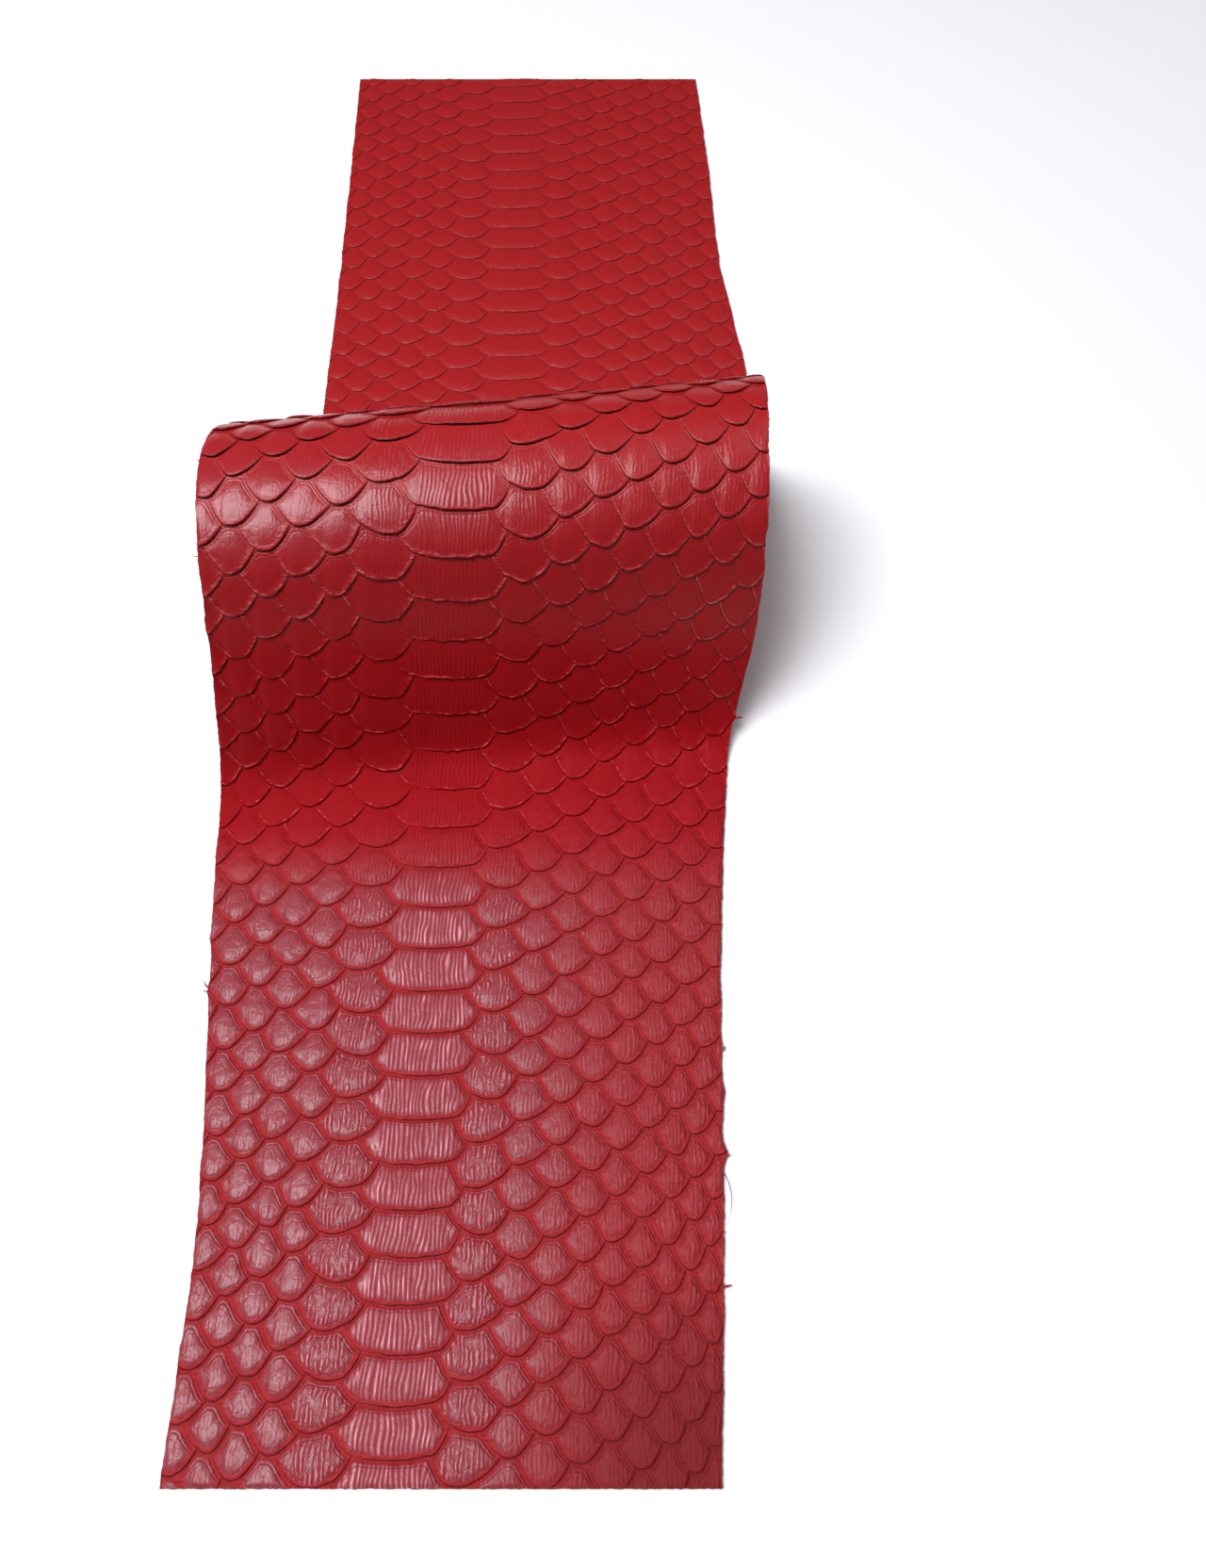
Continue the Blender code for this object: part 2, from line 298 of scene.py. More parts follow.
def through(points, along):
    """Values at places of a smooth curve through (along, value) points."""
    at, value = np.array(points).T
    slope = np.gradient(value, at)
    n = np.clip(np.searchsorted(at, along) - 1, 0, len(at) - 2)
    span = at[n + 1] - at[n]
    x = np.clip((along - at[n]) / span, 0.0, 1.0)
    start = (1.0 + 2.0 * x) * (1.0 - x) ** 2 * value[n] + x * (1.0 - x) ** 2 * span * slope[n]
    end = x * x * (3.0 - 2.0 * x) * value[n + 1] - x * x * (1.0 - x) * span * slope[n + 1]
    return start + end


def hashed(a, b, seed):
    """Repeatable value from 0 to 1 for whole numbers a and b."""
    value = np.sin(a * 127.1 + b * 311.7 + seed * 74.7) * 43758.5453
    return value - np.floor(value)


def noise(x, y, seed):
    """Smooth value noise from -1 to 1 with cells one unit wide."""
    a, b = np.floor(x), np.floor(y)
    u, v = smooth(x - a), smooth(y - b)
    low = hashed(a, b, seed) * (1.0 - u) + hashed(a + 1.0, b, seed) * u
    high = hashed(a, b + 1.0, seed) * (1.0 - u) + hashed(a + 1.0, b + 1.0, seed) * u
    return 2.0 * (low * (1.0 - v) + high * v) - 1.0


def skin_noise(along, across, cell, seed):
    """Smooth noise from -1 to 1 over the strip, with cells of a size across and along it."""
    return noise(across / cell[0], along / cell[1], seed)


class Bend:
    """The curve of the hump, seen along its folds, and the strip laid over it."""

    shift = np.zeros(3)

    def __init__(self):
        longest = HUMP_START + FRONT_BEND + FRONT_RISE + CREST_BEND + LONGEST_FALL + BACK_BEND
        self.travel = np.arange(-STRIP_LENGTH, 2.0 * max(longest, STRIP_LENGTH), BENDING_STEP)
        short, long = 0.0, LONGEST_FALL
        while long - short > 1e-9:
            fall = (short + long) / 2.0
            self.integrate(fall)
            if self.height[-1] > 0.0:
                short = fall
            else:
                long = fall
        along = np.linspace(0.0, STRIP_LENGTH, 2000)
        left = self.place(along, through(LEFT_EDGE, along), 0.0 * along)
        self.shift = np.array([SKIN_LOW[0] - left[:, 0].min(), SKIN_LOW[1], 0.0])

    def integrate(self, fall):
        """Works out the curve for a given length of the straight fall behind the crest."""
        crest = HUMP_START + FRONT_BEND + FRONT_RISE
        foot = crest + CREST_BEND + fall
        rise = FRONT_SLOPE * smooth((self.travel - HUMP_START) / FRONT_BEND)
        turn = (FRONT_SLOPE + BACK_SLOPE) * smooth((self.travel - crest) / CREST_BEND)
        settle = BACK_SLOPE * smooth((self.travel - foot) / BACK_BEND)
        self.slope = rise - turn + settle
        middle = (self.slope[1:] + self.slope[:-1]) / 2.0
        self.forward = self.travel[0] + np.concatenate([[0.0], np.cumsum(np.cos(middle)) * BENDING_STEP])
        self.height = np.concatenate([[0.0], np.cumsum(np.sin(middle)) * BENDING_STEP])
        self.turning = np.gradient(self.slope, BENDING_STEP)

    def travel_of(self, along, across):
        return along * math.cos(FOLD_TURN) - across * math.sin(FOLD_TURN)

    def place(self, along, across, above):
        """World places of points of the strip, above its flesh side."""
        travel = self.travel_of(along, across)
        sideways = across * math.cos(FOLD_TURN) + along * math.sin(FOLD_TURN)
        slope = np.interp(travel, self.travel, self.slope)
        forward = np.interp(travel, self.travel, self.forward) - above * np.sin(slope)
        up = np.interp(travel, self.travel, self.height) + above * np.cos(slope)
        x = sideways * math.cos(FOLD_TURN) - forward * math.sin(FOLD_TURN)
        y = sideways * math.sin(FOLD_TURN) + forward * math.cos(FOLD_TURN)
        return np.stack([x, y, up], axis=-1) + self.shift

    def crest_turning(self, along, across):
        """Curvature of the crest, zero where the strip is flat or bends the other way."""
        return np.maximum(-np.interp(self.travel_of(along, across), self.travel, self.turning), 0.0)

    def front_share(self, along, across):
        """How far a place lies on the front of the hump, from 0 to 1."""
        travel = self.travel_of(along, across)
        crest = HUMP_START + FRONT_BEND + FRONT_RISE + CREST_DELAY
        rise = smooth((travel - HUMP_START + FRONT_LEAD) / FRONT_ONSET)
        return rise * (1.0 - smooth((travel - crest) / CREST_ONSET))


BEND = Bend()


def ragged_edge(points, bulges, along, seed):
    """A cut edge with the wobble of a cut through scales, and its bulges as (along, out, half length)."""
    wobble = 0.0 * along
    for n, (size, length) in enumerate(WOBBLES):
        wobble = wobble + size * noise(along / length, 0.0 * along, seed + n)
    wobble *= 0.4 + 0.6 * np.abs(noise(along / CALM_STRETCH, 0.0 * along, seed + len(WOBBLES)))
    out = sum(size * np.exp(-(((along - at) / half) ** 2)) for at, size, half in bulges)
    return through(points, along) + wobble + math.copysign(1.0, points[0][1]) * out


def left_edge(along):
    return ragged_edge(LEFT_EDGE, LEFT_BULGES, along, 3)


def right_edge(along):
    return ragged_edge(RIGHT_EDGE, RIGHT_BULGES, along, 7)


def row_places():
    """Distances along the strip of the half rows. Even ones are belly plates, odd ones their free edges."""
    along = FIRST_FREE_EDGE - 2.5 * TAIL_PITCH
    rows = []
    while along < STRIP_LENGTH + 3.0 * COLUMN_PITCH:
        rows.append(float(along))
        along += float(through(ROW_PITCHES, along)) / 2.0
    return rows


ROWS = row_places()


def column_pitch(along):
    return between(COLUMN_PITCH_TAIL, COLUMN_PITCH, PITCH_GROWS, along)


def column(number, side, along):
    """Distance of a column of side scales from the belly line, in column pitches."""
    if side < 0:
        first, second = LEFT_FIRST_COLUMN, LEFT_SECOND_STEP
        step, narrowing = between(*LEFT_STEPS, COLUMNS_CHANGE, along), LEFT_NARROWING
    else:
        first, second = RIGHT_FIRST_COLUMN, RIGHT_SECOND_STEP
        step, narrowing = RIGHT_STEP, between(*RIGHT_NARROWINGS, COLUMNS_CHANGE, along)
    if number == 1:
        return first
    further = number - 2
    return first + second + further * step - narrowing * further * (further - 1) / 2.0


def lattice(row, number, side):
    """(along, across) of a corner of the scales. Number 0 is the corner of a belly plate's free edge."""
    along = ROWS[row]
    pitches = column(number, side, along) if number else BELLY_HALF_WIDTH - BELLY_LINE_SHORTENING
    offset = pitches * column_pitch(along)
    across = through(BELLY_LINE, along) + side * offset
    slants = LEFT_SLANTS if side < 0 else RIGHT_SLANTS
    along = along + between(*slants, COLUMNS_CHANGE, along) * max(offset - SLANT_START, 0.0)
    stray = SCALE_JITTER * (0.4 if number < 2 else 1.0)
    along = along + stray * (2.0 * hashed(row, side * (number + 1), 11) - 1.0)
    across = across + stray * (2.0 * hashed(row, side * (number + 1), 12) - 1.0)
    return np.array([along, across])


def flat_ends(row, number, side):
    """Inner and outer end of the flat run at a corner, where a scale's free edge crosses its column."""
    middle = lattice(row, number, side)
    if number == 0:
        return middle, middle
    along = ROWS[row]
    inner = column(number - 1, side, along) if number > 1 else BELLY_HALF_WIDTH
    here, outer = column(number, side, along), column(number + 1, side, along)
    step = min(here - inner, outer - here)
    half = step * column_pitch(along) * (FLAT_SHARE_BY_BELLY if number == 1 else FLAT_SHARE)
    half *= 0.8 + 0.4 * hashed(row, side * number, 13)
    tilt = half * FLAT_TILT * (2.0 * hashed(row, side * number, 14) - 1.0)
    reach = np.array([tilt, side * half])
    return middle - reach, middle + reach


def free_arc(tail, corner, power, share):
    """Points of a free edge's flank, from its tail-most point at share 0 to a side corner at share 1."""
    along = tail[0] + (corner[0] - tail[0]) * share ** power
    across = tail[1] + (corner[1] - tail[1]) * share
    return np.stack([along, across], axis=-1)


def flank(row, number, next_row, side, share):
    """Points from the outer end of a flat run to the inner end of the next column's."""
    start, end = flat_ends(row, number, side)[1], flat_ends(next_row, number + 1, side)[0]
    power = FLANK_POWER if number else BELLY_FLANK_POWER
    if next_row > row:
        return free_arc(start, end, power, share)
    return free_arc(end, start, power, 1.0 - share)


def flat_run(row, number, side, share):
    """Points along a flat run, from its inner to its outer end, bowed to the tail end."""
    inner, outer = flat_ends(row, number, side)
    run = inner[None] * (1.0 - share[:, None]) + outer[None] * share[:, None]
    bow = FLAT_BOW * np.linalg.norm(outer - inner) * 4.0 * share * (1.0 - share)
    return run - np.stack([bow, 0.0 * bow], axis=-1)


def shadowed_corner_share(along, across):
    """How far a place belongs to the dark corner at the tail end's right, with its painted shadow, less
    relief and less gloss.
    """
    back = np.maximum(along, 0.0) / CORNER_LENGTH
    aside = np.minimum(across - CORNER_PLACE, 0.0) / CORNER_WIDTH
    return smooth(CORNER_REACH - np.hypot(back, aside))


def relief_share(along, across):
    """How raised the scales' fields are: most near the tail end, little on the hump, low far away."""
    front = 1.0 - 0.75 * BEND.front_share(along, across) ** 2
    crest = 1.0 - 0.75 * smooth(BEND.crest_turning(along, across) / CREST_FULL_TURNING)
    far = between(1.0, 0.65, FAR_FLATTENS, along)
    return front * crest * far * (1.0 - 0.7 * shadowed_corner_share(along, across))


def gloss_share(along, across):
    """How polished the scales' fields are, from 0 to 1."""
    far = between(1.0, 0.3, FAR_DULLS, along)
    right = between(0.0, 1.0, RIGHT_DULLS, across) * between(*RIGHT_DULLNESS, RIGHT_DULLS_MORE, along)
    foot = between(0.0, 0.9, FOOT_DULLS, along) * between(1.0, 0.0, FOOT_ENDS, along)
    front = np.maximum(BEND.front_share(along, across), foot)
    return (1.0 - 0.9 * front) * far * (1.0 - right) * (1.0 - 0.8 * shadowed_corner_share(along, across))


class Outline:
    """Upper and lower bound of a scale as fine runs of points, for distances rounded off in its corners."""

    def __init__(self, upper, lower):
        self.runs = [self.pieces(upper), self.pieces(lower)]

    def pieces(self, run):
        return (run[1:] + run[:-1]) / 2.0, np.linalg.norm(np.diff(run, axis=0), axis=-1)

    def distances(self, plan):
        """Distances of points to the hinge line, to the free edge and to both, with the hinge as nearer."""
        pulls = []
        for middle, length in self.runs:
            gap = np.sum((plan[..., None, :] - middle) ** 2, axis=-1) + 1e-10
            pulls.append(np.sum(length / gap ** 2, axis=-1) / (math.pi / 2.0))
        hinge, edge = pulls
        both = hinge / HINGE_SHARE ** 3 + edge
        return hinge ** (-1.0 / 3.0), edge ** (-1.0 / 3.0), both ** (-1.0 / 3.0)


class Patches:
    """Faces of one piece on the flat strip. Each point also carries what its finish depends on."""

    def __init__(self):
        self.points = []
        self.forms = []
        self.looks = []
        self.faces = []
        self.count = 0

    def add(self, points, form, look, outward=1):
        """Adds a grid of points, with rows from hinge to free edge. Outward -1 turns the faces over."""
        rows, columns = points.shape[:2]
        index = self.count + np.arange(rows * columns).reshape(rows, columns)
        low, high = index[:-1], index[1:]
        quads = np.stack([low[:, :-1], high[:, :-1], high[:, 1:], low[:, 1:]], axis=-1).reshape(-1, 4)
        self.faces.append(quads[:, ::outward])
        self.points.append(points.reshape(-1, 3))
        self.forms.append(form.reshape(-1, 3))
        self.looks.append(look.reshape(-1, 3))
        self.count += rows * columns


def turned_edge(edge, height, inwards, lift):
    """Rows that turn a free edge over: its nose, its underside, the tuck under it and the groove."""
    groove = np.full(height.shape, LEATHER_THICKNESS)
    room = np.maximum(height - groove, 0.0)
    thickness = np.minimum(LIP_LEATHER, room)
    overhang = LIP_OVERHANG * smooth(room / 0.0003)
    tuck = np.clip(lift * LIFT_TUCK, 0.0, LONGEST_TUCK)
    rows = (
        (-overhang, height - 0.3 * thickness),
        (-overhang, height - thickness),
        (tuck, groove + 0.15 * room),
        (0.0 * tuck, groove),
    )
    made = []
    for inset, above in rows:
        made.append(np.concatenate([edge + inwards * inset[:, None], above[:, None]], axis=-1))
    return np.stack(made)


def striation_ridges(along, across, row):
    """Lengthwise ridges of a belly plate, which wander, join and fade, from 0 to 1."""
    wander = RIDGE_WANDER * skin_noise(along, across, RIDGE_WANDER_CELL, 51 + row)
    wander += RIDGE_SWAY * skin_noise(along, across, RIDGE_SWAY_CELL, 52 + row)
    turn = 2.0 * np.pi * ((across + wander) / RIDGE_SPACING + hashed(row, 0, 53))
    ridge = (0.5 + 0.5 * np.cos(turn)) ** RIDGE_SHARPNESS
    uneven = RIDGE_UNEVENNESS * skin_noise(along, across, RIDGE_UNEVEN_CELL, 54 + row)
    return ridge * (1.0 - RIDGE_UNEVENNESS + uneven)


def rim_height(along, across, share, from_edge, middle, fused, tone):
    """What a scale gains towards its free edge: its lip, a bead, and crinkles on the hump's front."""
    tip_fade = 1.0 - np.abs(middle)[None] ** 6
    lip = LIP_RISE * (0.85 + 0.3 * tone) * (1.0 - 0.72 * fused) * smooth(share * 1.15)
    bead = RIM_BEAD * np.exp(-(((from_edge - RIM_BEAD_PLACE) / RIM_BEAD_WIDTH) ** 2))
    crinkle = CRINKLE * BEND.front_share(along, across) * np.exp(-from_edge / CRINKLE_DEPTH)
    crinkle = crinkle * skin_noise(along, across, CRINKLE_CELL, 21)
    return (lip + bead + crinkle) * tip_fade


def pillow_height(along, across, depth, dented):
    """Rise of a scale's field, with its dome and dents."""
    dome = PILLOW_DOME * smooth(depth / DOME_DEPTH)
    dents = skin_noise(along, across, DENT_CELL, 31) + 0.6 * skin_noise(along, across, SMALL_DENT_CELL, 32)
    return relief_share(along, across) * (PILLOW_RISE + dome + DENTS * dented * dents)


def inwards_of(edge):
    """Directions from a free edge to the head end, square to it."""
    direction = np.gradient(edge, axis=0)
    direction /= np.maximum(np.linalg.norm(direction, axis=-1, keepdims=True), 1e-9)
    return np.stack([np.abs(direction[:, 1]), -direction[:, 0] * np.sign(direction[:, 1])], axis=-1)


def scale_patch(patches, upper, lower, outline, middle, steps, row, number, side, striated):
    """One scale between its hinge line and its free edge, drawn from side corner to side corner."""
    share = (1.0 - (1.0 - np.linspace(0.0, 1.0, steps + 1)) ** 1.25)[:, None]
    plan = upper[None] * (1.0 - share[..., None]) + lower[None] * share[..., None]
    along, across = plan[..., 0], plan[..., 1]
    from_hinge, from_edge, depth = outline.distances(plan)
    from_hinge[0] = 0.0
    from_edge[-1] = 0.0
    depth[0] = 0.0
    depth[-1] = 0.0
    tone = hashed(row, side * (number + 1), 41)
    uneven = FIELD_UNEVENNESS * skin_noise(along, across, FIELD_UNEVEN_CELL, 34)
    field = smooth((depth + uneven - MARGIN) / MARGIN_SLOPE)
    fused = smooth((-middle * (side or 1) - 0.14) / 0.3)[None] * FUSED_SHARE
    lift = LIFT_STIFFNESS * BEND.crest_turning(along, across) * from_hinge ** 2 / 2.0
    dented = 1.0 if side < 0 and number else DENTS_AWAY_FROM_LEFT
    height = LEATHER_THICKNESS + lift + rim_height(along, across, share, from_edge, middle, fused, tone)
    height = height + field * pillow_height(along, across, depth, dented)
    ridge = 0.0 * field
    if number == 0:
        ridge = striation_ridges(along, across, row) * field
        height = height + RIDGE_RISE * (0.35 + 0.65 * relief_share(along, across)) * (ridge - 0.4 * field)
    top = np.concatenate([plan, height[..., None]], axis=-1)
    points = np.concatenate([top, turned_edge(lower, height[-1], inwards_of(lower), lift[-1])])
    form = np.zeros(points.shape)
    form[: steps + 1] = np.stack([field, from_hinge / MM, from_edge / MM + FUSED_LINE * fused], axis=-1)
    form[steps + 1:, :, 1] = form[steps, :, 1]
    look = np.zeros(points.shape)
    look[..., 0] = striated
    look[..., 1] = tone
    look[: steps + 1, :, 2] = ridge
    patches.add(points, form, look, side or 1)


def crimped(points):
    """Points of a free edge moved a little along the strip, so that its line is slightly crinkled."""
    along, across = points[:, 0], points[:, 1]
    shift = skin_noise(along, across, EDGE_CRIMP_CELL, 61)
    shift = shift * (EDGE_CRIMP + EDGE_CRIMP_FRONT * BEND.front_share(along, across))
    return points + np.stack([shift, 0.5 * shift], axis=-1)


def scale_bounds(row, number, side, steps, flat_steps):
    """Upper and lower bound of a six-sided scale, from its inner to its outer corner."""
    share = np.linspace(0.0, 1.0, steps + 1)
    run = np.linspace(0.0, 1.0, flat_steps + 1)[1:-1]
    bounds = []
    for other in (row + 1, row - 1):
        inner = flank(row, number - 1, other, side, share)
        outer = flank(other, number, row, side, share)
        bounds.append(crimped(np.concatenate([inner, flat_run(other, number, side, run), outer])))
    return bounds


def side_scale(patches, row, number, side, detail):
    """One six-sided scale, its face and its turned free edge."""
    upper, lower = scale_bounds(row, number, side, detail.flank_steps, detail.flat_steps)
    outline = Outline(*scale_bounds(row, number, side, OUTLINE_STEPS, OUTLINE_STEPS // 2))
    middle = np.linspace(-1.0, 1.0, len(upper))
    striated = STRIATED_FIRST_COLUMN if number == 1 else STRIATED_OUTER_COLUMNS
    if side > 0 and number > 1:
        striated = min(STRIATED_RIGHT_COLUMNS[0] + STRIATED_RIGHT_COLUMNS[1] * number, 1.0)
    scale_patch(patches, upper, lower, outline, middle, detail.steps, row, number, side, striated)


def belly_line_run(row, share):
    """Points of a belly plate's free edge between its two corners, bowed to the tail end."""
    left, right = lattice(row, 0, -1), lattice(row, 0, 1)
    ends = left[None] * (1.0 - share[:, None]) + right[None] * share[:, None]
    bow = BELLY_ARC * (1.0 - (2.0 * share - 1.0) ** 2)
    return ends - np.stack([bow, 0.0 * bow], axis=-1)


def plate_bounds(row, steps, middle_steps):
    """Upper and lower bound of a belly plate, from its left to its right tip."""
    share = np.linspace(0.0, 1.0, steps + 1)
    run = np.linspace(0.0, 1.0, middle_steps + 1)[1:-1]
    bounds = []
    for other in (row + 1, row - 1):
        left = flank(other, 0, row, -1, share)[::-1]
        right = flank(other, 0, row, 1, share)
        bounds.append(crimped(np.concatenate([left, belly_line_run(other, run), right])))
    return bounds


def belly_plate(patches, row, detail):
    """One belly plate with its two tips, its ridges and its turned free edge."""
    upper, lower = plate_bounds(row, detail.flank_steps, detail.plate_steps)
    outline = Outline(*plate_bounds(row, OUTLINE_STEPS, PLATE_OUTLINE_STEPS))
    middle = 2.0 * (lower[:, 1] - lower[0, 1]) / (lower[-1, 1] - lower[0, 1]) - 1.0
    scale_patch(patches, upper, lower, outline, middle, detail.steps + 2, row, 0, 1, 0.0)


class Detail:
    """How finely a scale is drawn: finest near the tail end, which lies nearest to the eye."""

    def __init__(self, along):
        near = along < FINEST_UNTIL
        middle = along < FINE_UNTIL
        self.flank_steps = 9 if near else 8 if middle else 6
        self.flat_steps = 6 if near else 5 if middle else 4
        self.steps = 16 if near else 14 if middle else 12
        self.plate_steps = 128 if near else 108 if middle else 84


def trimmed(patches):
    """Points, faces, forms and looks, with what lies past the strip's cuts moved onto them or dropped."""
    points = np.concatenate(patches.points)
    faces = np.concatenate(patches.faces)
    along, across, above = points.T
    beside = np.minimum(across - left_edge(along), right_edge(along) - across)
    inside = np.minimum(beside, np.minimum(along, STRIP_LENGTH - along))
    faces = faces[(inside[faces] > 0.0).any(axis=1)]
    along = np.clip(along, 0.0, STRIP_LENGTH)
    across = np.clip(across, left_edge(along), right_edge(along))
    above = EDGE_HEIGHT + (above - EDGE_HEIGHT) * smooth(inside / EDGE_ROUNDING)
    flat = np.stack([along, across, above], axis=-1)
    return flat, faces, np.concatenate(patches.forms), np.concatenate(patches.looks)


def set_point_values(mesh, name, values):
    attribute = mesh.attributes.new(name, "FLOAT_VECTOR", "POINT")
    attribute.data.foreach_set("vector", np.ascontiguousarray(values, dtype=np.float32).ravel())


def make_piece(name, flat, faces, forms, looks, material):
    """Bends flat points over the hump and makes the piece, without points that no face uses."""
    used, faces = np.unique(faces, return_inverse=True)
    flat = flat[used]
    along, across, above = flat.T
    mesh = bpy.data.meshes.new(name)
    mesh.from_pydata(BEND.place(along, across, above).tolist(), [], faces.reshape(-1, 4).tolist())
    set_point_values(mesh, "strip_place", np.stack([across, along, above], axis=-1) / MM)
    set_point_values(mesh, "scale_form", forms[used])
    set_point_values(mesh, "scale_look", looks[used])
    zone = [BEND.front_share(along, across), gloss_share(along, across), shadowed_corner_share(along, across)]
    set_point_values(mesh, "zone", np.stack(zone, axis=-1))
    mesh.validate()
    mesh.polygons.foreach_set("use_smooth", np.ones(len(mesh.polygons), dtype=bool))
    mesh.materials.append(material)
    piece = bpy.data.objects.new(name, mesh)
    bpy.context.scene.collection.objects.link(piece)
    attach(piece, "root")
    return piece


def rows_between(start, end):
    return [n for n in range(1, len(ROWS) - 1) if start <= ROWS[n] < end]


def belly_plates(name, start, end, material):
    patches = Patches()
    for row in rows_between(start, end):
        if row % 2 == 0:
            belly_plate(patches, row, Detail(ROWS[row]))
    return make_piece(name, *trimmed(patches), material)


def side_scales(name, side, start, end, material):
    patches = Patches()
    columns = LEFT_COLUMNS if side < 0 else RIGHT_COLUMNS
    for row in rows_between(start, end):
        for number in range(1, columns + 1):
            if (row + number) % 2 == 0:
                side_scale(patches, row, number, side, Detail(ROWS[row]))
    return make_piece(name, *trimmed(patches), material)


def plain_patch(patches, points, outward):
    """Adds a grid without scales."""
    patches.add(points, np.zeros(points.shape), np.zeros(points.shape), outward)


def plain_piece(name, patches, material):
    return make_piece(name, np.concatenate(patches.points), np.concatenate(patches.faces),
                      np.concatenate(patches.forms), np.concatenate(patches.looks), material)


def flesh_side(material):
    """The smooth underside of the strip, its greatest width and its flat area."""
    along = np.linspace(0.0, STRIP_LENGTH, 560)
    share = np.linspace(0.0, 1.0, 41)
    left, right = left_edge(along), right_edge(along)
    across = left[:, None] + (right - left)[:, None] * share[None]
    places = np.stack([along[:, None] + 0.0 * across, across, 0.0 * across], axis=-1)
    area = float(np.sum((right[1:] + right[:-1] - left[1:] - left[:-1]) / 2.0 * np.diff(along)))
    patches = Patches()
    plain_patch(patches, places, -1)
    return plain_piece("flesh_side", patches, material), float(np.max(right - left)), area


def cut_run(along, across, outward):
    """Grid of points of the raw edge along one cut: the top, a fibrous bulge and the foot."""
    travelled = np.concatenate([[0.0], np.cumsum(np.hypot(np.diff(along), np.diff(across)))])
    bulge = 0.00016 + 0.00012 * noise(travelled / 0.0011, 0.0 * travelled, 61)
    rows = []
    for share, push in ((1.0, 0.0), (0.8, 0.8), (0.5, 1.0), (0.2, 0.5), (0.0, 0.0)):
        fray = push * (bulge + 0.00010 * noise(travelled / 0.0005, 0.0 * travelled + 4.0 * share, 62))
        above = EDGE_HEIGHT * share + 0.0 * along
        rows.append(np.stack([along + outward[0] * fray, across + outward[1] * fray, above], axis=-1))
    return np.stack(rows)


def cut_edges(material):
    """The raw edges all round the strip."""
    along = np.linspace(0.0, STRIP_LENGTH, 1600)
    share = np.linspace(0.0, 1.0, 340)
    patches = Patches()
    plain_patch(patches, cut_run(along, left_edge(along), (0.0, -1.0)), 1)
    plain_patch(patches, cut_run(along, right_edge(along), (0.0, 1.0)), -1)
    for end, outward in ((0.0, -1), (STRIP_LENGTH, 1)):
        left, right = left_edge(np.array([end])), right_edge(np.array([end]))
        across = left + (right - left) * share
        plain_patch(patches, cut_run(end + 0.0 * across, across, (float(outward), 0.0)), outward)
    return plain_piece("cut_edges", patches, material)


def tube(patches, path, radii):
    """A thin tapered thread along a path of flat points."""
    sides = np.linspace(0.0, 2.0 * np.pi, 6)
    direction = np.gradient(path, axis=0)
    direction /= np.linalg.norm(direction, axis=-1, keepdims=True)
    across = np.cross(direction, (0.0, 0.0, 1.0))
    across /= np.maximum(np.linalg.norm(across, axis=-1, keepdims=True), 1e-6)
    upright = np.cross(across, direction)
    ring = np.cos(sides)[None, :, None] * across[:, None] + np.sin(sides)[None, :, None] * upright[:, None]
    plain_patch(patches, path[:, None] + ring * radii[:, None, None], 1)


def fibre_path(along, side, length, lean, curl, rise, points=9):
    """Path of a fibre out of the raw edge. Lean is its first direction, curl how that turns."""
    share = np.linspace(0.0, 1.0, points)
    heading = lean + curl * share
    step = length / (points - 1)
    out = np.concatenate([[0.0], np.cumsum(np.cos(heading[1:]) * step)]) - 0.0003
    forward = np.concatenate([[0.0], np.cumsum(np.sin(heading[1:]) * step)])
    edge = left_edge(np.array([along])) if side < 0 else right_edge(np.array([along]))
    above = 0.5 * EDGE_HEIGHT + rise * share ** 1.5
    return np.stack([along + forward, edge + side * out, above], axis=-1)


# Fibres that show: (along, side, length, lean, curl, rise, radius)
SHOWN_FIBRES = (
    (0.0755, 1, 0.0016, 0.2, 0.5, 0.0003, 0.00030),
    (0.0720, 1, 0.0150, -0.95, -1.15, 0.0010, 0.00012),
    (0.0570, 1, 0.0012, -0.3, -0.8, 0.0004, 0.00022),
    (0.0435, 1, 0.0028, 0.0, 0.3, 0.0004, 0.00042),
    (0.0432, 1, 0.0019, 0.3, 0.3, 0.0008, 0.00018),
    (0.1040, 1, 0.0022, 0.1, 1.2, 0.0005, 0.00026),
    (0.1050, 1, 0.0016, -0.5, 1.6, 0.0008, 0.00018),
    (0.2130, 1, 0.0030, 0.1, -0.1, 0.0006, 0.00055),
    (0.0240, 1, 0.0010, 0.2, 0.4, 0.0003, 0.00016),
    (0.1225, -1, 0.0030, 0.3, 1.0, 0.0006, 0.00028),
    (0.1215, -1, 0.0022, -0.4, 1.3, 0.0003, 0.00020),
    (0.1370, -1, 0.0015, 0.5, 0.6, 0.0006, 0.00014),
    (0.2915, -1, 0.0022, 0.6, 0.8, 0.0004, 0.00020),
    (0.2650, -1, 0.0028, -0.5, 1.4, 0.0004, 0.00014),
    (0.2680, -1, 0.0020, 0.5, -0.9, 0.0006, 0.00012),
    (0.1800, -1, 0.0012, 0.2, 0.6, 0.0004, 0.00012),
)
STRAY_FIBRES = 150


